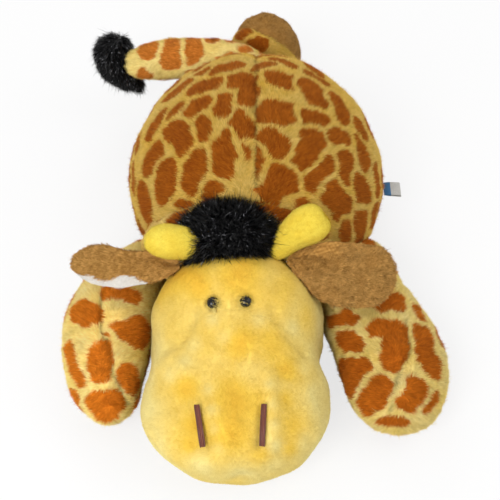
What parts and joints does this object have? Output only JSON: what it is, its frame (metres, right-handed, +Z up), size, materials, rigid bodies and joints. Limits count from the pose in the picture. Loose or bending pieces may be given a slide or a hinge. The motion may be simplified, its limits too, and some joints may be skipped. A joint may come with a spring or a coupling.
{
  "type": "plush giraffe",
  "caption": "Plush giraffe lying flat on its belly, chin on the ground, legs and floppy ears spread, with stuffed horns, a black forelock and a tufted tail.",
  "frame": {"origin": "middle of the flat of the belly, on the ground it lies on", "axes": "+Z up; the animal faces -Y, so +Y runs back along its body to the hind feet; +X is the animal's own left"},
  "size_m": [0.287, 0.4546, 0.14],
  "materials": {
    "printed_plush": "matte",
    "yellow_plush": "matte",
    "tan_plush": "matte",
    "horn_velour": "matte",
    "black_pile": "satin",
    "white_lining": "matte",
    "brown_thread": "satin",
    "black_plastic": "gloss",
    "white_plastic": "matte",
    "fibrefill": "matte",
    "cotton_tape": "matte"
  },
  "bodies": {
    "torso": {"back_panel_left": "printed_plush", "back_panel_right": "printed_plush", "belly_panel": "printed_plush", "torso_stuffing": "fibrefill", "neck": "printed_plush"},
    "head": {"muzzle_panel": "yellow_plush", "forehead_panel": "yellow_plush", "chin_panel": "yellow_plush", "head_stuffing": "fibrefill", "eye_left": "black_plastic", "eye_right": "black_plastic", "eye_washer_left": "white_plastic", "eye_washer_right": "white_plastic", "nostril_stitching_left": "brown_thread", "nostril_stitching_right": "brown_thread", "forelock": "black_pile"},
    "foreleg_left": {"foreleg_left": "printed_plush"},
    "foreleg_right": {"foreleg_right": "printed_plush"},
    "hindleg_left": {"hindleg_left": "printed_plush", "hindfoot_sole_left": "tan_plush"},
    "hindleg_right": {"hindleg_right": "printed_plush", "hindfoot_sole_right": "tan_plush"},
    "tail": {"tail": "printed_plush", "tail_tuft": "black_pile"},
    "ear_left": {"ear_left": "tan_plush", "ear_lining_left": "white_lining"},
    "ear_right": {"ear_right": "tan_plush", "ear_lining_right": "white_lining"},
    "horn_left": {"horn_left": "horn_velour"},
    "horn_right": {"horn_right": "horn_velour"},
    "side_label": {"side_label": "cotton_tape"}
  },
  "joints": [
    {"name": "head_nod", "type": "hinge", "parent": "torso", "child": "head", "pos_m": [-0.014, -0.092, 0.106], "axis": [-1, 0, 0], "range_deg": [0, 18]},
    {"name": "foreleg_left_swing", "type": "hinge", "parent": "torso", "child": "foreleg_left", "pos_m": [0.07828, -0.062, 0], "axis": [0, 0, 1], "range_deg": [0, 15]},
    {"name": "foreleg_right_swing", "type": "hinge", "parent": "torso", "child": "foreleg_right", "pos_m": [-0.07828, -0.062, 0], "axis": [0, 0, -1], "range_deg": [0, 15]},
    {"name": "hindleg_left_swing", "type": "hinge", "parent": "torso", "child": "hindleg_left", "pos_m": [0.009, 0.0776, 0], "axis": [0, 0, -1], "range_deg": [0, 10]},
    {"name": "hindleg_right_swing", "type": "hinge", "parent": "torso", "child": "hindleg_right", "pos_m": [-0.058, 0.05975, 0], "axis": [0, 0, 1], "range_deg": [0, 10]},
    {"name": "tail_lift", "type": "hinge", "parent": "torso", "child": "tail", "pos_m": [0.012, 0.112, 0.072], "axis": [0, 1, 0], "range_deg": [0, 35]},
    {"name": "ear_left_flop", "type": "hinge", "parent": "head", "child": "ear_left", "pos_m": [0.02025, -0.12, 0.087], "axis": [0, -1, 0], "range_deg": [0, 22]},
    {"name": "ear_right_flop", "type": "hinge", "parent": "head", "child": "ear_right", "pos_m": [-0.04825, -0.12, 0.087], "axis": [0, 1, 0], "range_deg": [0, 22]},
    {"name": "horn_left_bend", "type": "hinge", "parent": "head", "child": "horn_left", "pos_m": [0.008, -0.114, 0.08411], "axis": [0, 0, 1], "range_deg": [-8, 8], "stiffness_Nm_per_rad": 0.02},
    {"name": "horn_right_bend", "type": "hinge", "parent": "head", "child": "horn_right", "pos_m": [-0.036, -0.114, 0.0841], "axis": [0, 0, 1], "range_deg": [-8, 8], "stiffness_Nm_per_rad": 0.02},
    {"name": "side_label_flap", "type": "hinge", "parent": "torso", "child": "side_label", "pos_m": [0.10539, -0.012, 0.045], "axis": [0, -1, 0], "range_deg": [-25, 25], "stiffness_Nm_per_rad": 0.0005}
  ]
}
